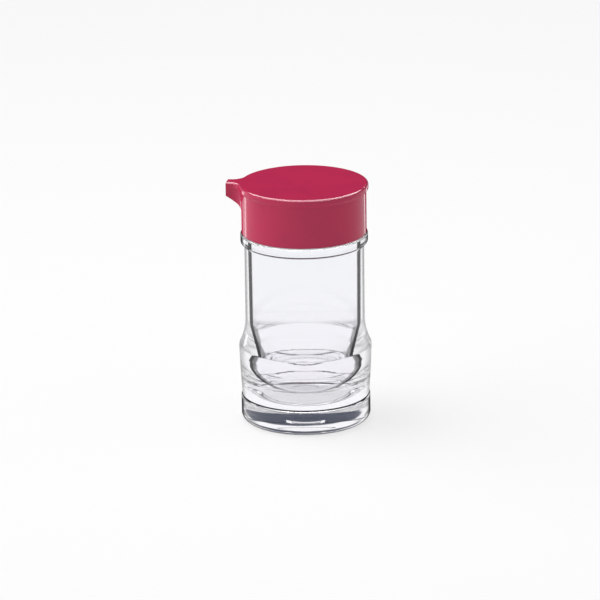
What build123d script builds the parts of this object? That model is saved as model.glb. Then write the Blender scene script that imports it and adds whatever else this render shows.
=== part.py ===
from build123d import *
import os
from math import sqrt

# Sizes in millimetres. The dispenser stands on z = 0 with its axis on Z, and its spout points to -X.

# Base of the clear vessel
BASE_OVERHANG = 2.4  # base ring beyond the upper wall
BASE_HEIGHT = 11.9
BASE_EDGE = 3.4  # rounding of the edge that meets the table
BASE_TOP_EDGE = 0.4
FOOT_WIDTH = 1.4  # flat ring that touches the table
DOME_RISE = 1.8  # hollow of the underside above the table
DIMPLE_RADIUS = 7.0
DIMPLE_DEPTH = 0.5

# Lower band, from the groove above the base up to the shoulder
WAIST_OVERHANG = 1.95
GROOVE_HEIGHT = 0.8
BAND_OVERHANG = 3.05
BAND_RISE = 20.7  # from the groove to the band's widest place
BAND_BULGE = 0.12  # how far the rising band stands off a straight line
CREASE_OVERHANG = 2.6
CREASE_RISE = 4.0  # from the widest place to the crease
SHOULDER_RISE = 8.5  # from the crease to where its slope would meet the upper wall
SHOULDER_ROUND = 27.0

# Upper wall, flange and neck
BODY_RADIUS = 28.4
BODY_RISE = 42.2  # from the shoulder to the underside of the flange
BODY_WALL = 2.0
FLANGE_THICKNESS = 4.1
FLANGE_ROUND = 1.7
FLANGE_EDGE = 0.5
NECK_HEIGHT = 15.8
NECK_WALL = 1.0
RIM_EDGE = 0.4

# Cavity
FLOOR_THICKNESS = 11.5
FLOOR_ROUND = 18.0  # the cavity ends in a deep bowl
MOUTH_DRAFT = 0.4  # how much wider the cavity is at the mouth than at the crease

# Cap
THREAD_SPACE = 0.7  # between the neck and the skirt, where the screw threads run
SKIRT_WALL = 1.1
SKIRT_EDGE = 0.4
SKIRT_GAP = 0.3  # between the flange and the closed cap
FLANGE_MARGIN = 0.6  # flange beyond the skirt
TOP_THICKNESS = 2.2
LAND_DEPTH = 4.3  # step under the top that presses on the seal
LAND_WIDTH = 4.5
LAND_EDGE = 0.3
LIP_OVERHANG = 1.0  # rounded lip of the cap's top beyond the skirt
LIP_HEIGHT = 2.6
LIP_EDGE = 1.0

# Spout and vent
SPOUT_REACH = 36.9  # from the axis to the tip
SPOUT_WIDTH = 6.6
SPOUT_TIP_HEIGHT = 6.5
SPOUT_DROP = 4.7  # how far its underside falls on the way to the skirt
SPOUT_UNDER_ROUND = 4.0
SPOUT_FLARE = 6.0  # concave rounding between its sides and the cap
CHANNEL_RADIUS = 1.7
CHANNEL_DEPTH = 3.5  # from the cap's top to the middle of the channel
VENT_RADIUS = 0.8

# Seal ring
SEAL_THICKNESS = 1.6
SEAL_WIDTH = 3.8
SEAL_CLEARANCE = 0.15  # above and below
SEAL_SIDE_CLEARANCE = 0.3  # to the skirt

# Heights that follow
waist_z = BASE_HEIGHT + GROOVE_HEIGHT
band_z = waist_z + BAND_RISE
crease_z = band_z + CREASE_RISE
shoulder_z = crease_z + SHOULDER_RISE
flange_z = shoulder_z + BODY_RISE
flange_top_z = flange_z + FLANGE_THICKNESS
rim_z = flange_top_z + NECK_HEIGHT
seal_z = rim_z + SEAL_CLEARANCE
land_z = seal_z + SEAL_THICKNESS + SEAL_CLEARANCE
ceiling_z = land_z + LAND_DEPTH
top_z = ceiling_z + TOP_THICKNESS
channel_z = top_z - CHANNEL_DEPTH
skirt_z = flange_top_z + SKIRT_GAP

# Radii that follow
base_radius = BODY_RADIUS + BASE_OVERHANG
foot_inner_radius = base_radius - BASE_EDGE - FOOT_WIDTH
waist_radius = BODY_RADIUS + WAIST_OVERHANG
band_radius = BODY_RADIUS + BAND_OVERHANG
crease_radius = BODY_RADIUS + CREASE_OVERHANG
cavity_radius = BODY_RADIUS - BODY_WALL
mouth_radius = cavity_radius + MOUTH_DRAFT
neck_radius = mouth_radius + NECK_WALL
skirt_inner_radius = neck_radius + THREAD_SPACE
skirt_radius = skirt_inner_radius + SKIRT_WALL
flange_radius = skirt_radius + FLANGE_MARGIN
lip_radius = skirt_radius + LIP_OVERHANG
land_inner_radius = skirt_inner_radius - LAND_WIDTH
seal_outer_radius = skirt_inner_radius - SEAL_SIDE_CLEARANCE


def vessel_outline():
    """The clear vessel's section, from the middle of its underside round to the middle of its floor."""
    dome_radius = (foot_inner_radius**2 + DOME_RISE**2) / (2 * DOME_RISE)
    dimple_edge_z = DOME_RISE - dome_radius + sqrt(dome_radius**2 - DIMPLE_RADIUS**2)
    dimple_z = DOME_RISE + DIMPLE_DEPTH
    band_middle = ((waist_radius + band_radius) / 2 + BAND_BULGE, (waist_z + band_z) / 2)
    crease_middle = (band_radius - (band_radius - crease_radius) / 4, (band_z + crease_z) / 2)
    with BuildLine() as outline:
        Polyline((0, dimple_z), (DIMPLE_RADIUS, dimple_z), (DIMPLE_RADIUS, dimple_edge_z))
        RadiusArc((DIMPLE_RADIUS, dimple_edge_z), (foot_inner_radius, 0), dome_radius)
        FilletPolyline(
            (foot_inner_radius, 0),
            (base_radius, 0),
            (base_radius, BASE_HEIGHT),
            (waist_radius, waist_z),
            radius=[BASE_EDGE, BASE_TOP_EDGE],
        )
        ThreePointArc((waist_radius, waist_z), band_middle, (band_radius, band_z))
        ThreePointArc((band_radius, band_z), crease_middle, (crease_radius, crease_z))
        FilletPolyline(
            (crease_radius, crease_z),
            (BODY_RADIUS, shoulder_z),
            (BODY_RADIUS, flange_z),
            (flange_radius, flange_z),
            (flange_radius, flange_top_z),
            (neck_radius, flange_top_z),
            (neck_radius, rim_z),
            (mouth_radius, rim_z),
            (cavity_radius, crease_z),
            (cavity_radius, FLOOR_THICKNESS),
            (0, FLOOR_THICKNESS),
            radius=[SHOULDER_ROUND, FLANGE_ROUND, FLANGE_EDGE, FLANGE_EDGE, 0, RIM_EDGE, RIM_EDGE, 0, FLOOR_ROUND],
        )
        Line((0, FLOOR_THICKNESS), (0, dimple_z))
    return outline.line


def build_vessel():
    """Thick clear body with its waisted base, flange and plain neck, turned from one section."""
    with BuildPart() as vessel:
        with BuildSketch(Plane.XZ):
            with BuildLine():
                add(vessel_outline())
            make_face()
        revolve(axis=Axis.Z)
    vessel.part.label = "vessel"
    return vessel.part


def build_seal_ring():
    """Flat washer between the vessel's rim and the land under the cap."""
    with BuildPart() as seal_ring:
        with BuildSketch(Plane.XY.offset(seal_z)):
            Circle(seal_outer_radius)
            Circle(seal_outer_radius - SEAL_WIDTH, mode=Mode.SUBTRACT)
        extrude(amount=SEAL_THICKNESS)
    seal_ring.part.label = "seal_ring"
    return seal_ring.part


def spout_plan(root_radius):
    """The spout seen from above: straight sides that flare into a round of the given radius."""
    half_width = SPOUT_WIDTH / 2
    flare_y = half_width + SPOUT_FLARE
    flare_x = -sqrt((root_radius + SPOUT_FLARE) ** 2 - flare_y**2)
    start = (flare_x, half_width)
    root = Vector(flare_x, flare_y) * (root_radius / (root_radius + SPOUT_FLARE))
    beyond_tip = -SPOUT_REACH - SPOUT_WIDTH
    with BuildSketch() as plan:
        with BuildLine():
            Line((beyond_tip, 0), (beyond_tip, half_width))
            Line((beyond_tip, half_width), start)
            TangentArc(start, root, tangent=(1, 0))
            Line(root, (root.X, 0))
            mirror(about=Plane.XZ)
        make_face()
    return plan.sketch


def spout_section():
    """The spout seen from the side: level top, upright tip and an underside that sinks into the skirt."""
    tip_z = top_z - SPOUT_TIP_HEIGHT
    under_z = tip_z - SPOUT_DROP
    inside_radius = (skirt_inner_radius + skirt_radius) / 2
    with BuildSketch(Plane.XZ) as section:
        with BuildLine():
            FilletPolyline(
                (-SPOUT_REACH, tip_z),
                (-skirt_radius, under_z),
                (-skirt_radius, under_z - SPOUT_UNDER_ROUND),
                radius=SPOUT_UNDER_ROUND,
            )
            Polyline(
                (-skirt_radius, under_z - SPOUT_UNDER_ROUND),
                (-inside_radius, under_z - SPOUT_UNDER_ROUND),
                (-inside_radius, top_z),
                (-SPOUT_REACH, top_z),
                (-SPOUT_REACH, tip_z),
            )
        make_face()
    return section.sketch


def build_spout():
    """Solid spout: its side section turned about the cap's axis, then cut to its plan."""
    with BuildPart() as spout:
        add(spout_section())
        revolve(axis=Axis.Z)
        with BuildSketch():
            add(spout_plan(skirt_radius))
        extrude(amount=top_z, mode=Mode.INTERSECT)
        with BuildSketch(Plane.XY.offset(top_z - LIP_HEIGHT)):
            add(spout_plan(lip_radius))
            Circle(SPOUT_REACH, mode=Mode.INTERSECT)
        extrude(amount=LIP_HEIGHT)
    return spout.part


def build_cap():
    """Cap with a smooth skirt, a lipped flat top, a hollow spout and a vent opposite it."""
    spout = build_spout()
    with BuildPart() as cap:
        with BuildSketch(Plane.XZ):
            with BuildLine():
                FilletPolyline(
                    (0, top_z),
                    (lip_radius, top_z),
                    (lip_radius, top_z - LIP_HEIGHT),
                    (skirt_radius, top_z - LIP_HEIGHT - LIP_OVERHANG),
                    (skirt_radius, skirt_z),
                    (skirt_inner_radius, skirt_z),
                    (skirt_inner_radius, land_z),
                    (land_inner_radius, land_z),
                    (land_inner_radius, ceiling_z),
                    (0, ceiling_z),
                    radius=[0, LIP_OVERHANG / 2, LIP_OVERHANG / 2, SKIRT_EDGE, SKIRT_EDGE, 0, LAND_EDGE, 0],
                )
                Line((0, ceiling_z), (0, top_z))
            make_face()
        revolve(axis=Axis.Z)
        add(spout)
        fillet(cap.faces().sort_by(Axis.Z)[-1].outer_wire().edges(), LIP_EDGE)
        with BuildSketch(Plane.YZ.offset(-land_inner_radius + CHANNEL_RADIUS)):
            with Locations((0, channel_z)):
                Circle(CHANNEL_RADIUS)
        extrude(amount=-SPOUT_REACH, mode=Mode.SUBTRACT)
        with BuildSketch(Plane.YZ.offset(land_inner_radius - VENT_RADIUS)):
            with Locations((0, channel_z)):
                Circle(VENT_RADIUS)
        extrude(amount=SPOUT_REACH, mode=Mode.SUBTRACT)
    cap.part.label = "cap"
    return cap.part


os.makedirs("parts", exist_ok=True)
for piece in (build_vessel(), build_seal_ring(), build_cap()):
    export_step(piece, f"parts/{piece.label}.step")
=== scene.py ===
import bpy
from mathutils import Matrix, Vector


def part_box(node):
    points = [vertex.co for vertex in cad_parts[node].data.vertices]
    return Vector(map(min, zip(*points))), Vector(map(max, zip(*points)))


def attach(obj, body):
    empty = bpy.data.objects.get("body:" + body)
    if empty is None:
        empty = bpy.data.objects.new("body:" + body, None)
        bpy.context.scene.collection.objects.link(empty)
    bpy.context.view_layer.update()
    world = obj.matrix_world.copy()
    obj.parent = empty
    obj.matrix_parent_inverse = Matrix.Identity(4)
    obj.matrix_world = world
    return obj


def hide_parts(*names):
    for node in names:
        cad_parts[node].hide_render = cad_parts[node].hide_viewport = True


bl_info = {
    "name": "Sauce Dispenser",
    "version": (1, 0, 0),
    "blender": (4, 5, 0),
    "location": "View3D > Sidebar > Dispenser",
    "description": "Dresses a clear sauce dispenser with a red screw cap and sets up its studio",
    "category": "Object",
}

from math import asin, ceil, cos, radians, sin, sqrt, tan, tau
from types import SimpleNamespace

import bmesh
import bpy
from mathutils import Matrix, Vector

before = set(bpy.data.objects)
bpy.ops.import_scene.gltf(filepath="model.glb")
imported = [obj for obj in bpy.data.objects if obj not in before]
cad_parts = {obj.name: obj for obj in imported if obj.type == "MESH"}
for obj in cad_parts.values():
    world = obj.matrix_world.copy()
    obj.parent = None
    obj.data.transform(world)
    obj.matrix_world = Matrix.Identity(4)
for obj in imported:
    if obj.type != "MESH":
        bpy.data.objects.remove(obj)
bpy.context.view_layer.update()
VESSEL_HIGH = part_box("vessel")[1]
CAP_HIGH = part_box("cap")[1]

MM = 0.001


# Properties

def size(name, millimetres, description):
    """A length that a user may change, written here in millimetres and kept in metres."""
    return bpy.props.FloatProperty(
        name=name, description=description, default=millimetres * MM, min=0, precision=5, subtype="DISTANCE",
        unit="LENGTH",
    )


def colour(name, rgb, description):
    """A colour that a user may change, in linear light."""
    return bpy.props.FloatVectorProperty(
        name=name, description=description, default=rgb, size=3, min=0, max=1, subtype="COLOR"
    )


def amount(name, default, description, low=0.0, high=1.0):
    """A plain number that a user may change."""
    return bpy.props.FloatProperty(name=name, description=description, default=default, min=low, max=high)


def angle(name, default, description):
    """An angle that a user may change, written here in degrees."""
    return bpy.props.FloatProperty(
        name=name, description=description, default=radians(default), subtype="ANGLE", unit="ROTATION"
    )


class VesselSizes(bpy.types.PropertyGroup):
    """The clear vessel's section, from its foot up to its neck"""

    body_radius: size("Body radius", 28.4, "Outside of the upper wall")
    wall: size("Wall", 2.0, "Thickness of the upper wall")
    base_overhang: size("Base overhang", 2.4, "Base ring beyond the upper wall")
    base_height: size("Base height", 11.9, "Height of the base ring")
    base_edge: size("Base edge", 3.4, "Rounding of the edge that meets the table")
    base_top_edge: size("Base top edge", 0.4, "Rounding of the base ring's upper edge")
    foot_width: size("Foot width", 1.4, "Flat ring that touches the table")
    dome_rise: size("Dome rise", 1.8, "Hollow of the underside")
    dimple_radius: size("Dimple radius", 7.0, "Dimple in the middle of the underside")
    dimple_depth: size("Dimple depth", 0.5, "Depth of the dimple")
    waist_overhang: size("Waist overhang", 1.95, "Groove's bottom beyond the upper wall")
    groove_height: size("Groove height", 0.8, "Rise from the base ring to the groove's bottom")
    band_rise: size("Band rise", 20.7, "From the groove to the band's widest place")
    band_bulge: size("Band bulge", 0.12, "How far the band stands off a straight line")
    crease_overhang: size("Crease overhang", 3.04, "Crease beyond the upper wall")
    crease_rise: size("Crease rise", 4.0, "From the widest place to the crease")
    shoulder_rise: size("Shoulder rise", 6.6, "From the crease to the upper wall")
    shoulder_round: size("Shoulder round", 30.0, "Rounding from the shoulder into the upper wall")
    body_rise: size("Body rise", 44.1, "From the shoulder to the flange")
    flange_thickness: size("Flange thickness", 4.1, "Height of the flange's edge")
    flange_radius: size("Flange radius", 30.2, "Outside of the flange")
    flange_round: size("Flange round", 1.7, "Rounding under the flange")
    flange_edge: size("Flange edge", 0.5, "Rounding of the flange's two edges")
    neck_wall: size("Neck wall", 1.0, "Thickness of the neck")
    rim_edge: size("Rim edge", 0.4, "Rounding of the rim")
    mouth_draft: size("Mouth draft", 0.4, "How much wider the cavity is at the mouth")
    floor_thickness: size("Floor thickness", 11.5, "From the table to the cavity's floor")
    floor_round: size("Floor round", 18.0, "Rounding of the bowl that ends the cavity")
    turns: bpy.props.IntProperty(name="Segments", description="Faces round the vessel", default=300, min=24)


class ThreadSizes(bpy.types.PropertyGroup):
    """The screw thread that holds the cap on"""

    space: size("Space", 0.7, "Between the neck and the inside of the cap's skirt")
    lead: size("Lead", 12.0, "Rise of the cap in one turn")
    starts: bpy.props.IntProperty(name="Starts", description="Ridges side by side", default=3, min=1)
    span: angle("Span", 150.0, "How far round each ridge runs")
    fade: angle("Run-out", 12.0, "Length of the taper at each end of a ridge")
    neck_depth: size("Neck ridge", 0.45, "How far the vessel's ridges stand out")
    cap_depth: size("Cap ridge", 0.45, "How far the cap's ridges stand in")
    ridge_width: size("Ridge width", 1.5, "Width of a ridge at its root")
    crest_width: size("Crest width", 0.6, "Width of a ridge at its crest")
    lowest: size("Lowest ridge", 3.2, "Height of the ridges' start above the flange")


class Finishes(bpy.types.PropertyGroup):
    """Colours and surface of the three pieces"""

    clear_tint: colour("Clear plastic", (0.952, 0.956, 0.976), "What the clear plastic lets through")
    thick_tint: colour("Thick plastic", (0.950, 0.944, 0.974), "What it lets through in its thick lower part")
    # Colour of the painted shade that darkens the clear walls where they are seen edge on
    painted_edge_colour: colour("Clear edge", (0.010, 0.011, 0.016), "Shade of a wall that is seen edge on")
    clear_ior: amount("Refraction", 1.53, "How strongly the clear plastic bends light", 1.0, 2.0)
    ripples: amount("Ripples", 0.5, "Depth of the moulding ripples round the thick part")
    cap_red: colour("Cap", (0.450, 0.0265, 0.080), "Red of the moulded cap")
    cap_shade: colour("Cap shade", (0.365, 0.022, 0.076), "Darker red in the cap's flow marks")
    cap_roughness: amount("Cap roughness", 0.05, "Gloss of the cap")
    seal_grey: colour("Seal", (0.62, 0.61, 0.59), "Pale rubber of the seal")


class StudioSettings(bpy.types.PropertyGroup):
    """Floor, light and camera"""

    floor_white: colour("Floor", (0.96, 0.96, 0.96), "Colour of the floor")
    floor_glow: amount("Floor glow", 0.66, "Share of the floor that is lit evenly, like a light table")
    ceiling: amount("Ceiling", 0.66, "Light from overhead", 0.0, 4.0)
    front: amount("Front", 0.12, "Light from behind the camera", 0.0, 4.0)
    left: amount("Left", 2.7, "Light from the left", 0.0, 4.0)
    right: amount("Right", 0.8, "Light from the right", 0.0, 4.0)
    gleam: amount("Gleam", 14.0, "Brightness of the ceiling as a glossy surface mirrors it", 0.0, 40.0)
    streaks: amount("Streaks", 3.5, "Brightness added to two strips of floor that the cap mirrors", 0.0, 40.0)
    room: colour("Room", (0.030, 0.040, 0.075), "Colour of the unlit part of the room behind the dispenser")
    room_low: angle("Room from", 4.0, "Lowest elevation of the unlit part")
    room_high: angle("Room to", 34.0, "Highest elevation of the unlit part")
    room_width: angle("Room width", 57.0, "How far the unlit part reaches to either side of straight behind")
    azimuth: angle("Camera azimuth", 7.5, "How far the camera stands round from the front")
    elevation: angle("Camera elevation", 17.693, "How far the camera looks down")
    roll: angle("Camera roll", -0.67, "Tilt of the picture")
    distance: size("Camera distance", 2200.0, "From the middle of the object to the camera")
    focal: amount("Focal length", 277.6, "In millimetres, on a sensor 36 mm wide", 10.0, 1000.0)
    shift_x: amount("Shift X", -0.00819, "Sideways shift of the picture, in its widths", -1.0, 1.0)
    shift_y: amount("Shift Y", 0.00007, "Upward shift of the picture, in its widths", -1.0, 1.0)


class DispenserSettings(bpy.types.PropertyGroup):
    """Everything that a user would change on the dispenser"""

    vessel: bpy.props.PointerProperty(type=VesselSizes)
    thread: bpy.props.PointerProperty(type=ThreadSizes)
    finish: bpy.props.PointerProperty(type=Finishes)
    studio: bpy.props.PointerProperty(type=StudioSettings)


# Shader maths

class Value:
    """A number, vector, colour or shader on a node's socket. Arithmetic on a number adds Math nodes."""

    def __init__(self, shader, socket):
        self.shader = shader
        self.socket = socket

    def math(self, operation, *terms):
        """A Math node on the given terms, which include this value where the operation needs it."""
        return self.shader.node("ShaderNodeMath", {"operation": operation}, dict(enumerate(terms)))

    def __add__(self, other):
        return self.math("ADD", self, other)

    __radd__ = __add__

    def __sub__(self, other):
        return self.math("SUBTRACT", self, other)

    def __rsub__(self, other):
        return self.math("SUBTRACT", other, self)

    def __mul__(self, other):
        return self.math("MULTIPLY", self, other)

    __rmul__ = __mul__

    def __pow__(self, other):
        return self.math("POWER", self, other)

    def larger(self, other):
        return self.math("MAXIMUM", self, other)

    def smaller(self, other):
        return self.math("MINIMUM", self, other)

    def magnitude(self):
        return self.math("ABSOLUTE", self)

    def step(self, low, high):
        """0 below low, 1 above high, and a smooth rise between them."""
        return self.shader.node(
            "ShaderNodeMapRange", {"interpolation_type": "SMOOTHSTEP"},
            {"Value": self, "From Min": low, "From Max": high}, "Result",
        )

    def between(self, rise, fall):
        """1 between the steps rise and fall, each given as (low, high), and 0 outside them."""
        return self.step(*rise) * (1 - self.step(*fall))


class Shader:
    """The node tree of a material or of the world."""

    def __init__(self, owner):
        owner.use_nodes = True
        self.tree = owner.node_tree
        self.tree.nodes.clear()

    def node(self, kind, settings=None, sockets=None, output=0):
        """Adds a node: its settings first, then its sockets' values or links. Returns one of its outputs."""
        node = self.tree.nodes.new(kind)
        for key, value in (settings or {}).items():
            setattr(node, key, value)
        for key, value in (sockets or {}).items():
            if isinstance(value, Value):
                self.tree.links.new(value.socket, node.inputs[key])
            else:
                node.inputs[key].default_value = value
        return Value(self, node.outputs[output]) if len(node.outputs) else None

    def place(self):
        """The point's place in the object's own frame."""
        return self.node("ShaderNodeTexCoord", output="Object")

    def parts(self, vector, axes="XYZ"):
        """The named components of a vector."""
        return [self.node("ShaderNodeSeparateXYZ", {}, {0: vector}, axis) for axis in axes]

    def ray(self, kind):
        """1 for rays of one kind, and 0 for others."""
        return self.node("ShaderNodeLightPath", output=f"Is {kind} Ray")

    def noise(self, scale, detail=2.0, roughness=0.5, stretch=(1, 1, 1)):
        """Cloudy noise from 0 to 1, with so many cells to the metre."""
        vector = self.node("ShaderNodeVectorMath", {"operation": "MULTIPLY"}, {0: self.place(), 1: stretch})
        return self.node("ShaderNodeTexNoise", {}, {
            "Vector": vector, "Scale": scale, "Detail": detail, "Roughness": roughness,
        })

    def mix(self, factor, first, second):
        """A colour between two colours. The Mix node's colour sockets are found by number."""
        colours = {0: factor, 6: opaque(first), 7: opaque(second)}
        return self.node("ShaderNodeMix", {"data_type": "RGBA"}, colours, output=2)

    def blend(self, factor, first, second):
        """A shader between two shaders."""
        return self.node("ShaderNodeMixShader", {}, {0: factor, 1: first, 2: second})

    def reflected(self, ior):
        """The share of light that the surface mirrors.

        It nears 1 edge on, and is 1 where light can't leave the plastic.
        """
        return self.node("ShaderNodeFresnel", {}, {"IOR": ior})

    def bump(self, height, depth):
        """A bump of so many metres for a height from 0 to 1."""
        return self.node("ShaderNodeBump", {}, {"Height": height, "Distance": depth}, "Normal")

    def principled(self, sockets):
        return self.node("ShaderNodeBsdfPrincipled", {}, sockets)

    def surface(self, shader):
        self.node("ShaderNodeOutputMaterial", {}, {"Surface": shader})


def opaque(value):
    """A colour with an alpha of 1; a linked value stays as it is."""
    return value if isinstance(value, Value) else (*value, 1.0)


# Finishes

THICK_TO = 37.4 * MM  # the crease, under which the plastic is thick
THICK_EDGE = 1.0 * MM
# The heights, strengths and widths below, apart from the ripples', place the painted shade on clear walls seen
# edge on and the painted dark lines along the sharp corners
WALL_FROM, WALL_TO = (10 * MM, 13 * MM), (85 * MM, 88 * MM)  # between the base and the flange
SHADE_BAND_FROM, SHADE_BAND_TO = (22 * MM, 26 * MM), (39 * MM, 45 * MM)  # round the crease
RIPPLES_FROM, RIPPLES_TO = (13 * MM, 15 * MM), (42 * MM, 47 * MM)
SHADE_BAND_WIDENING = 0.8
SHADE_BAND_STRENGTH = 0.62
ALL_MIRRORED = (0.985, 1.0)
OUTER_SHADE_STRENGTHS, OUTER_SHADE_SPAN = (0.95, 0.35), (0.16, 0.40)
INNER_SHADE_STRENGTHS, INNER_SHADE_SPAN = (1.0, 1.0), (0.17, 0.22)
BOWL_SHADE_FADE = (19 * MM, 25 * MM)
GROOVE_SHADE_LINE = (0.45 * MM, 1.0)  # half width and strength
CREASE_SHADE_LINE = (0.20 * MM, 0.22)
FLANGE_SHADE_LINE = (0.35 * MM, 0.9)
SHADE_LINE_CORE = 0.5  # share of a line's half width that is evenly dark
HAZE_ROUGHNESS = 0.012
FLOW_DEPTH = 0.02 * MM
PAINTED_SHADE_ROUGHNESS = 0.5

CAP_IOR = 1.48
CAP_SPECULAR = 0.25
MARKS_RANGE = (0.35, 0.75)
MARKS_STRENGTH = 0.5
DUST_RANGE = (0.62, 0.8)
SMEAR_ROUGHNESS = 0.06
DUST_ROUGHNESS = 0.06
PEEL_DEPTH = 0.004 * MM
MATT_ROUGHNESS = 0.6
EDGE_ON = (0.79, 0.81)
LEVEL = (0.990, 0.998)

SEAL_SHADE = 0.9
SEAL_ROUGHNESS = 0.55
SEAL_GRAIN_ROUGHNESS = 0.2
SEAL_GRAIN_DEPTH = 0.01 * MM


def painted_edge_shade(shader, finish, height, shade_strengths, span, fade):
    """How strongly painted shade darkens the plastic where it is seen edge on: a painted dark line, with a
    softer painted band beside it at the crease.
    """
    mirrored = shader.reflected(finish.clear_ior)
    end_strength, wall_strength = shade_strengths
    strength = end_strength + height.between(WALL_FROM, WALL_TO) * (wall_strength - end_strength)
    widened = mirrored * (1 + height.between(SHADE_BAND_FROM, SHADE_BAND_TO) * SHADE_BAND_WIDENING)
    edge = mirrored.step(*span).larger(widened.step(*span) * SHADE_BAND_STRENGTH)
    edge = edge * (1 - mirrored.step(*ALL_MIRRORED)) * strength
    return edge * height.step(*fade) if fade else edge


def clear_plastic(name, finish, shade_strengths, span, painted_lines=(), fade=None):
    """Clear moulded plastic, tinted a little more in its thick lower part, with painted shade where it is seen
    edge on.

    shade_strengths tells how dark the painted edge shade is at the vessel's ends and on its wall, and span over
    which shares of mirrored light it comes in. painted_lines holds the height, half width and strength of each
    sharp corner's painted dark line, and fade the heights between which the painted edge shade comes in.
    """
    material = bpy.data.materials.new(name)
    shader = Shader(material)
    height, = shader.parts(shader.place(), "Z")
    # Painted shade: where the wall is seen edge on and along each sharp corner's line, a near-black colour is
    # mixed over the clear plastic in place of the dark refractions of the room
    edge = painted_edge_shade(shader, finish, height, shade_strengths, span, fade)
    for line_height, half_width, strength in painted_lines:
        off = (height - line_height).magnitude()
        edge = edge.larger((1 - off.step(half_width * SHADE_LINE_CORE, half_width)) * strength)
    upper = height.step(THICK_TO - THICK_EDGE, THICK_TO)
    haze = shader.noise(90, 3)
    flow = shader.noise(60, 2, stretch=(1, 1, 0.25))
    ripples = shader.noise(420, 3, 0.6) * height.between(RIPPLES_FROM, RIPPLES_TO)
    clear = shader.principled({
        "Base Color": shader.mix(upper, finish.thick_tint, finish.clear_tint),
        "Roughness": haze * HAZE_ROUGHNESS,
        "IOR": finish.clear_ior,
        "Transmission Weight": 1.0,
        "Normal": shader.bump(flow + ripples * finish.ripples, FLOW_DEPTH),
    })
    # Near-black painted shade, mixed over the clear plastic by the amount worked out above
    dark = shader.principled({
        "Base Color": opaque(finish.painted_edge_colour),
        "Roughness": PAINTED_SHADE_ROUGHNESS,
        "Specular IOR Level": 0.0,
    })
    shader.surface(shader.blend(edge, clear, dark))
    return material


def cap_plastic(finish):
    """Glossy red moulded plastic with faint flow marks and a fine texture; matt on the flat top and edge on."""
    material = bpy.data.materials.new("cap_plastic")
    shader = Shader(material)
    marks = shader.noise(45, 4, 0.6).step(*MARKS_RANGE)
    dust = shader.noise(2600, 2).step(*DUST_RANGE)
    smear = shader.noise(120, 4, 0.7)
    peel = shader.noise(700, 2)
    red = shader.mix(marks * MARKS_STRENGTH, finish.cap_red, finish.cap_shade)
    glossy = shader.principled({
        "Base Color": red,
        "Roughness": finish.cap_roughness + smear * SMEAR_ROUGHNESS + dust * DUST_ROUGHNESS,
        "IOR": CAP_IOR,
        "Specular IOR Level": CAP_SPECULAR,
        "Normal": shader.bump(peel, PEEL_DEPTH),
    })
    matt = shader.principled({"Base Color": red, "Roughness": MATT_ROUGHNESS, "Specular IOR Level": 0.0})
    edge_on = shader.node("ShaderNodeLayerWeight", {}, {"Blend": 0.5}, "Facing").step(*EDGE_ON)
    upwards, = shader.parts(shader.node("ShaderNodeNewGeometry", output="Normal"), "Z")
    shader.surface(shader.blend(edge_on.larger(upwards.step(*LEVEL)), glossy, matt))
    return material


def seal_rubber(finish):
    """Pale soft rubber, matt, with a fine grain."""
    material = bpy.data.materials.new("seal_rubber")
    shader = Shader(material)
    tone = shader.noise(160, 4)
    grain = shader.noise(3000, 2)
    darker = [channel * SEAL_SHADE for channel in finish.seal_grey]
    shader.surface(shader.principled({
        "Base Color": shader.mix(tone, finish.seal_grey, darker),
        "Roughness": SEAL_ROUGHNESS + grain * SEAL_GRAIN_ROUGHNESS,
        "Normal": shader.bump(grain, SEAL_GRAIN_DEPTH),
    }))
    return material


# Outlines and turned forms

OUTSIDE, INSIDE = 0, 1  # material slots
SHARP_ANGLE = radians(28)
ARC_TURN = radians(6)
ARC_STEP = 0.5 * MM
RUN_STEP = 2.0 * MM
RUN_END = 0.15 * MM


def rounded(corners):
    """Points along straight runs whose corners, given as (radius, height, rounding), are rounded off."""
    points = []
    for index, (r, z, rounding) in enumerate(corners):
        here = Vector((r, z))
        if not rounding:
            points.append(here)
            continue
        before = (Vector(corners[index - 1][:2]) - here).normalized()
        after = (Vector(corners[index + 1][:2]) - here).normalized()
        half = before.angle(after) / 2
        start = here + before * (rounding / tan(half))
        centre = here + (before + after).normalized() * (rounding / sin(half))
        points += arc(centre, start, here + after * (rounding / tan(half)))
    return points


def arc(centre, start, end):
    """Points on the shorter arc round a centre, from start to end."""
    centre = Vector(centre)
    first = Vector(start) - centre
    sweep = first.angle_signed(Vector(end) - centre)
    steps = max(2, ceil(abs(sweep) / ARC_TURN), ceil(abs(sweep) * first.length / ARC_STEP))
    return [centre + Matrix.Rotation(-sweep * step / steps, 2) @ first for step in range(steps + 1)]


def bulged(start, end, bulge):
    """Points on the shallow arc from start to end that stands off the straight line by bulge, outwards."""
    start, end = Vector(start), Vector(end)
    half = (end - start).length / 2
    radius = (half * half + bulge * bulge) / (2 * bulge)
    inward = Vector((-(end - start).y, (end - start).x)).normalized()
    centre = (start + end) / 2 + inward * (radius - bulge)
    spread = asin(half / radius)
    steps = ceil(2 * half / ARC_STEP)
    middle = (start + end) / 2 - inward * bulge - centre
    return [centre + Matrix.Rotation(spread * (2 * step / steps - 1), 2) @ middle for step in range(steps + 1)]


def divided(points):
    """The same outline with its straight runs divided, and a point close to each of their ends.

    Arcs keep their points, because those stand closer together than the runs that are divided.
    """
    result = [points[0]]
    for start, end in zip(points, points[1:]):
        length = (end - start).length
        if length > 4 * RUN_END:
            first, last = start.lerp(end, RUN_END / length), end.lerp(start, RUN_END / length)
            steps = ceil(length / RUN_STEP)
            result += [first.lerp(last, step / steps) for step in range(steps + 1)]
        result.append(end)
    return result


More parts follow.
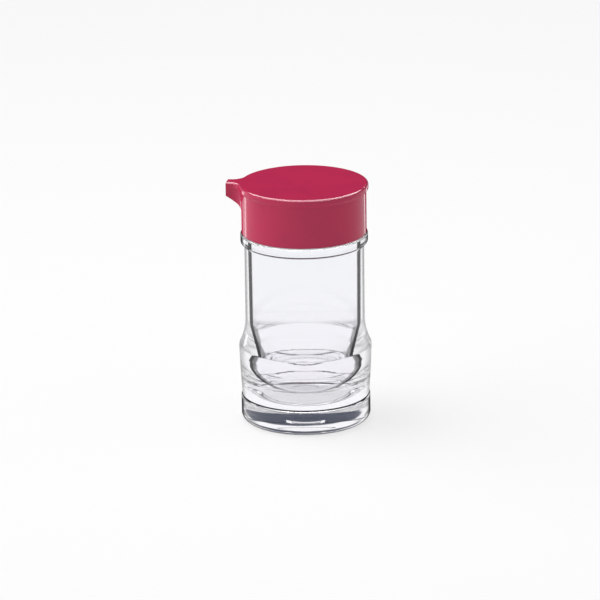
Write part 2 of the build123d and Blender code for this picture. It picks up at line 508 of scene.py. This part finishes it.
def turned(name, outline, segments, relief=None):
    """A solid turned about Z from an outline of (radius, height, slot) that starts and ends on the axis.

    relief gives how far the outside stands out further at a height and turn.
    """
    mesh = bmesh.new()
    rings = []
    for r, z, slot in outline:
        ring = []
        for index in range(segments if r else 1):
            turn = tau * index / segments
            reach = r + relief(z, turn) if r and relief and slot == OUTSIDE else r
            ring.append(mesh.verts.new((reach * cos(turn), reach * sin(turn), z)))
        rings.append(ring)
    for lower, upper, (_, _, slot) in zip(rings, rings[1:], outline):
        for index in range(segments):
            following = (index + 1) % segments
            corners = [lower[index % len(lower)], lower[following % len(lower)],
                       upper[following % len(upper)], upper[index % len(upper)]]
            face = mesh.faces.new(list(dict.fromkeys(corners)))
            face.material_index = slot
            face.smooth = True
    return mesh_object(name, mesh)


def mesh_object(name, mesh):
    """Links a finished bmesh to the scene under a name, with its normals outwards and its sharp edges kept."""
    bmesh.ops.recalc_face_normals(mesh, faces=mesh.faces)
    data = bpy.data.meshes.new(name)
    mesh.to_mesh(data)
    mesh.free()
    data.set_sharp_from_angle(angle=SHARP_ANGLE)
    piece = bpy.data.objects.new(name, data)
    bpy.context.scene.collection.objects.link(piece)
    return piece


# Vessel

THREAD_STEP = 0.25 * MM


def heights_of(body):
    """Heights of the vessel's levels, from the groove up to the flange's upper face."""
    waist = body.base_height + body.groove_height
    band = waist + body.band_rise
    crease = band + body.crease_rise
    shoulder = crease + body.shoulder_rise
    flange = shoulder + body.body_rise
    return SimpleNamespace(waist=waist, band=band, crease=crease, shoulder=shoulder, flange=flange,
                           flange_top=flange + body.flange_thickness)


def underside(body, foot):
    """The hollow underside's outline, from its middle to the inner edge of the foot."""
    dome = (foot**2 + body.dome_rise**2) / (2 * body.dome_rise)
    dome_centre = body.dome_rise - dome
    dimple_edge = Vector((body.dimple_radius, dome_centre + sqrt(dome**2 - body.dimple_radius**2)))
    dimple_z = body.dome_rise + body.dimple_depth
    dimple = [Vector((0, dimple_z)), Vector((body.dimple_radius, dimple_z))]
    return dimple + arc((0, dome_centre), dimple_edge, (foot, 0))


def vessel_outside(body):
    """The vessel's outline from the middle of its underside, round the outside, to the rim."""
    at = heights_of(body)
    base = body.body_radius + body.base_overhang
    foot = base - body.base_edge - body.foot_width
    waist = body.body_radius + body.waist_overhang
    band = VESSEL_HIGH.x
    crease = body.body_radius + body.crease_overhang
    mouth = body.body_radius - body.wall + body.mouth_draft
    neck = mouth + body.neck_wall
    rim_z = VESSEL_HIGH.z
    points = underside(body, foot)
    points += rounded([
        (foot, 0, 0), (base, 0, body.base_edge), (base, body.base_height, body.base_top_edge),
        (waist, at.waist, 0),
    ])[1:]
    points += bulged((waist, at.waist), (band, at.band), body.band_bulge)[1:]
    points += bulged((band, at.band), (crease, at.crease), body.band_bulge)[1:]
    points += rounded([
        (crease, at.crease, 0), (body.body_radius, at.shoulder, body.shoulder_round),
        (body.body_radius, at.flange, body.flange_round), (body.flange_radius, at.flange, body.flange_edge),
        (body.flange_radius, at.flange_top, body.flange_edge), (neck, at.flange_top, 0),
    ])[1:]
    straight = rim_z - body.rim_edge - at.flange_top
    steps = ceil(straight / THREAD_STEP)
    points += [Vector((neck, at.flange_top + straight * step / steps)) for step in range(1, steps)]
    points += rounded([
        (neck, at.flange_top, 0), (neck, rim_z, body.rim_edge), (mouth, rim_z, body.rim_edge),
        (mouth, at.flange_top, 0),
    ])[1:-1]
    return points


def vessel_inside(body):
    """The cavity's outline from the rim down to the middle of its floor."""
    cavity = body.body_radius - body.wall
    bottom = body.floor_thickness
    return rounded([
        (cavity + body.mouth_draft, VESSEL_HIGH.z - body.rim_edge, 0), (cavity, heights_of(body).crease, 0),
        (cavity, bottom, body.floor_round), (0, bottom, 0),
    ])


def run_out(thread, along):
    """Share of a ridge's full depth at an angle along it: it tapers off at both ends."""
    return max(0.0, min(1.0, along / thread.fade, (thread.span - along) / thread.fade))


def neck_relief(body, thread):
    """How far the neck's surface stands out at a height and turn: the ridges of the screw thread."""
    start_z = heights_of(body).flange_top + thread.lowest
    ramp = (thread.ridge_width - thread.crest_width) / 2

    def relief(z, turn):
        if z < start_z - thread.ridge_width:
            return 0.0
        out = 0.0
        for start in range(thread.starts):
            along = (turn - tau * start / thread.starts) % tau
            if along > thread.span:
                continue
            off = abs(z - start_z - thread.lead * along / tau)
            ridge = max(0.0, min(1.0, (thread.ridge_width / 2 - off) / ramp))
            out = max(out, thread.neck_depth * ridge * run_out(thread, along))
        return out

    return relief


class DISPENSER_OT_vessel(bpy.types.Operator):
    """Builds the clear vessel with its threaded neck"""

    bl_idname = "dispenser.vessel"
    bl_label = "Clear Vessel"

    def execute(self, context):
        settings = context.scene.dispenser
        body, finish = settings.vessel, settings.finish
        outside, inside = divided(vessel_outside(body)), divided(vessel_inside(body))
        outline = [(*point, OUTSIDE) for point in outside[:-1]] + [(*point, INSIDE) for point in inside]
        vessel = turned("clear_vessel", outline, body.turns, neck_relief(body, settings.thread))
        at = heights_of(body)
        # Painted dark lines along the groove, the crease and the flange; both materials also get painted shade
        # where the walls are seen edge on
        corners = ((at.waist, *GROOVE_SHADE_LINE), (at.crease, *CREASE_SHADE_LINE), (at.flange, *FLANGE_SHADE_LINE))
        outer = clear_plastic("clear_outside", finish, OUTER_SHADE_STRENGTHS, OUTER_SHADE_SPAN, painted_lines=corners)
        inner = clear_plastic("clear_inside", finish, INNER_SHADE_STRENGTHS, INNER_SHADE_SPAN, fade=BOWL_SHADE_FADE)
        vessel.data.materials.append(outer)
        vessel.data.materials.append(inner)
        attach(vessel, "vessel")
        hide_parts("vessel")
        return {"FINISHED"}


# Cap

RIDGE_STEPS = 60
RIDGE_SINK = 0.05 * MM  # how far a ridge's root is sunk into the skirt


def ridge_profile(thread, root, crest):
    """A ridge's section, as (radius, height) from the middle of the ridge."""
    return [(root, -thread.ridge_width / 2), (crest, -thread.crest_width / 2),
            (crest, thread.crest_width / 2), (root, thread.ridge_width / 2)]


def cap_ridges(thread, wall, bottom):
    """The ridges inside the cap's skirt, as one mesh of tapered helical ribs."""
    mesh = bmesh.new()
    for start in range(thread.starts):
        sections = []
        for step in range(RIDGE_STEPS + 1):
            along = thread.span * step / RIDGE_STEPS
            turn = tau * start / thread.starts + along
            z = bottom + thread.lead * along / tau
            profile = ridge_profile(thread, wall + RIDGE_SINK, wall - thread.cap_depth * run_out(thread, along))
            sections.append([mesh.verts.new((r * cos(turn), r * sin(turn), z + dz)) for r, dz in profile])
        for first, second in zip(sections, sections[1:]):
            for index in range(len(first)):
                following = (index + 1) % len(first)
                mesh.faces.new((first[index], first[following], second[following], second[index]))
        mesh.faces.new(sections[0])
        mesh.faces.new(sections[-1][::-1])
    for face in mesh.faces:
        face.smooth = True
    return mesh_object("cap_thread", mesh)


class DISPENSER_OT_cap(bpy.types.Operator):
    """Finishes the red cap and adds the ridges inside its skirt"""

    bl_idname = "dispenser.cap"
    bl_label = "Red Cap"

    def execute(self, context):
        settings = context.scene.dispenser
        body, thread = settings.vessel, settings.thread
        red = cap_plastic(settings.finish)
        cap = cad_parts["cap"]
        cap.data.materials.clear()
        cap.data.materials.append(red)
        skirt_inside = body.body_radius - body.wall + body.mouth_draft + body.neck_wall + thread.space
        pitch = thread.lead / thread.starts
        bottom = heights_of(body).flange_top + thread.lowest - pitch / 2
        ridges = cap_ridges(thread, skirt_inside, bottom)
        ridges.data.materials.append(red)
        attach(ridges, "cap")
        return {"FINISHED"}


class DISPENSER_OT_seal(bpy.types.Operator):
    """Finishes the seal ring under the cap"""

    bl_idname = "dispenser.seal"
    bl_label = "Seal Ring"

    def execute(self, context):
        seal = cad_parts["seal_ring"]
        seal.data.materials.clear()
        seal.data.materials.append(seal_rubber(context.scene.dispenser.finish))
        return {"FINISHED"}


# Studio

FLOOR_HALF = 4.0
FLOOR_GAP = 0.1 * MM
PAPER_SHADE = 0.985
STREAKS_FROM = (0.292, 0.298)  # from the axis; the clear wall mirrors what is nearer
LEFT_STREAK = (radians(-59), radians(-57)), (radians(-51), radians(-49))  # turned from straight behind
RIGHT_STREAK = (radians(18), radians(20)), (radians(25), radians(27))

ROOM_EDGE = (0.85, 1.15)  # share of the unlit part's reach
SIDEWAYS = (0.35, 0.85)
OVERHEAD = (radians(30), radians(60))
GLEAM_FROM = (radians(32), radians(38))

TOP_LIGHT_PLACE = (-0.15, 0.05, 1.0)
TOP_LIGHT_SIZE = 0.50
TOP_LIGHT_POWER = 3.0
SENSOR_WIDTH = 36  # millimetres
VIEW_END = 100
MOST_BOUNCES = 64
MOST_TRANSPARENT = 16


def mirrored_only(shader):
    """1 for rays that a glossy surface mirrors, and 0 for those that pass through clear plastic."""
    return shader.ray("Glossy") * (1 - shader.ray("Transmission"))


def floor_streaks(shader):
    """1 on two strips of the floor as the cap mirrors them, a streak down each of its sides, and 0 elsewhere."""
    across, behind = shader.parts(shader.place(), "XY")
    azimuth = across.math("ARCTAN2", across, behind)
    distance = shader.node("ShaderNodeVectorMath", {"operation": "LENGTH"}, {0: shader.place()}, "Value")
    strips = azimuth.between(*LEFT_STREAK) + azimuth.between(*RIGHT_STREAK)
    return strips * distance.step(*STREAKS_FROM) * mirrored_only(shader)


def add_floor(studio):
    """A wide white floor, lit partly from within like a light table."""
    mesh = bmesh.new()
    corners = [(-1, -1), (1, -1), (1, 1), (-1, 1)]
    mesh.faces.new([mesh.verts.new((x * FLOOR_HALF, y * FLOOR_HALF, -FLOOR_GAP)) for x, y in corners])
    floor = mesh_object("floor", mesh)
    material = bpy.data.materials.new("floor_white")
    shader = Shader(material)
    paper = shader.noise(30, 4)
    shaded = [channel * PAPER_SHADE for channel in studio.floor_white]
    matt = shader.principled({
        "Base Color": shader.mix(paper, studio.floor_white, shaded),
        "Roughness": 1.0,
        "Specular IOR Level": 0.0,
    })
    light = shader.mix(floor_streaks(shader), (1, 1, 1), [1 + studio.streaks] * 3)
    glow = shader.node("ShaderNodeEmission", {}, {"Color": light, "Strength": 1.0})
    shader.surface(shader.blend(studio.floor_glow, matt, glow))
    floor.data.materials.append(material)


def add_world(studio):
    """White all round, with an unlit part of the room behind the dispenser.

    What it lights gets most light from the left. What is seen, mirrored or looked through is plain white or the
    room's colour, apart from the brighter ceiling in mirrored light.
    """
    world = bpy.data.worlds.new("studio")
    bpy.context.scene.world = world
    shader = Shader(world)
    across, behind, height = shader.parts(shader.node("ShaderNodeTexCoord", output="Generated"))
    elevation = height.math("ARCSINE", height)
    azimuth = across.math("ARCTAN2", across, behind)
    middle = (studio.room_low + studio.room_high) / 2
    half = (studio.room_high - studio.room_low) / 2
    reach = ((elevation - middle) * (1 / half)) ** 2 + (azimuth * (1 / studio.room_width)) ** 2
    tint = shader.mix(reach.step(*ROOM_EDGE), studio.room, (1, 1, 1))
    leftward, rightward = (-1 * across).step(*SIDEWAYS), across.step(*SIDEWAYS)
    overhead = elevation.step(*OVERHEAD)
    low = leftward * (studio.left - studio.front) + rightward * (studio.right - studio.front) + studio.front
    light = low * (1 - overhead) + overhead * studio.ceiling
    seen = (shader.ray("Camera") + shader.ray("Glossy") + shader.ray("Transmission")).smaller(1)
    gleam = mirrored_only(shader) * elevation.step(*GLEAM_FROM) * (studio.gleam - 1) + 1
    strength = light * (1 - seen) + seen * gleam
    background = shader.node("ShaderNodeBackground", {}, {"Color": tint, "Strength": strength})
    shader.node("ShaderNodeOutputWorld", {}, {"Surface": background})


def add_top_light():
    """A square soft light above the dispenser that faces its middle."""
    lamp = bpy.data.lights.new("top_light", "AREA")
    lamp.shape = "SQUARE"
    lamp.size = TOP_LIGHT_SIZE
    lamp.energy = TOP_LIGHT_POWER
    softbox = bpy.data.objects.new("top_light", lamp)
    softbox.location = TOP_LIGHT_PLACE
    towards = Vector((0, 0, CAP_HIGH.z / 2)) - softbox.location
    softbox.rotation_euler = towards.to_track_quat("-Z", "Y").to_euler()
    bpy.context.scene.collection.objects.link(softbox)


def add_camera(studio):
    """The camera, round from the front, above the dispenser and a little tilted, as in the photograph."""
    middle = Vector((0, 0, CAP_HIGH.z / 2))
    a, e = studio.azimuth, studio.elevation
    back = Vector((sin(a) * cos(e), -cos(a) * cos(e), sin(e)))
    right = Vector((cos(a), sin(a), 0))
    facing = Matrix((right, back.cross(right), back)).transposed().to_4x4()
    place = Matrix.Translation(middle + back * studio.distance)
    data = bpy.data.cameras.new("camera")
    data.sensor_width = SENSOR_WIDTH
    data.lens = studio.focal
    data.shift_x = studio.shift_x
    data.shift_y = studio.shift_y
    data.clip_end = VIEW_END
    camera = bpy.data.objects.new("camera", data)
    camera.matrix_world = place @ facing @ Matrix.Rotation(studio.roll, 4, "Z")
    bpy.context.scene.collection.objects.link(camera)
    bpy.context.scene.camera = camera


class DISPENSER_OT_stage(bpy.types.Operator):
    """Sets up the floor, the light and the camera"""

    bl_idname = "dispenser.stage"
    bl_label = "Studio"

    def execute(self, context):
        studio = context.scene.dispenser.studio
        add_floor(studio)
        add_world(studio)
        add_top_light()
        add_camera(studio)
        scene = context.scene
        scene.view_settings.view_transform = "Standard"
        scene.cycles.max_bounces = MOST_BOUNCES
        scene.cycles.transmission_bounces = MOST_BOUNCES
        scene.cycles.glossy_bounces = MOST_BOUNCES
        scene.cycles.transparent_max_bounces = MOST_TRANSPARENT
        return {"FINISHED"}


class DISPENSER_PT_panel(bpy.types.Panel):
    """Builds the dispenser piece by piece and shows its sizes and colours"""

    bl_idname = "DISPENSER_PT_panel"
    bl_label = "Sauce Dispenser"
    bl_space_type = "VIEW_3D"
    bl_region_type = "UI"
    bl_category = "Dispenser"

    def draw(self, context):
        column = self.layout.column()
        for operator in OPERATORS:
            column.operator(operator.bl_idname)
        settings = context.scene.dispenser
        for group in (settings.vessel, settings.thread, settings.finish, settings.studio):
            box = column.box()
            for key in group.bl_rna.properties.keys():
                if key not in ("rna_type", "name"):
                    box.prop(group, key)


OPERATORS = (DISPENSER_OT_stage, DISPENSER_OT_vessel, DISPENSER_OT_cap, DISPENSER_OT_seal)
GROUPS = (VesselSizes, ThreadSizes, Finishes, StudioSettings, DispenserSettings)
CLASSES = (*GROUPS, *OPERATORS, DISPENSER_PT_panel)


def register():
    for cls in CLASSES:
        bpy.utils.register_class(cls)
    bpy.types.Scene.dispenser = bpy.props.PointerProperty(type=DispenserSettings)


def unregister():
    del bpy.types.Scene.dispenser
    for cls in reversed(CLASSES):
        bpy.utils.unregister_class(cls)


def main():
    register()
    bpy.ops.dispenser.stage()
    bpy.ops.dispenser.vessel()
    bpy.ops.dispenser.cap()
    bpy.ops.dispenser.seal()


if __name__ == "__main__":
    main()
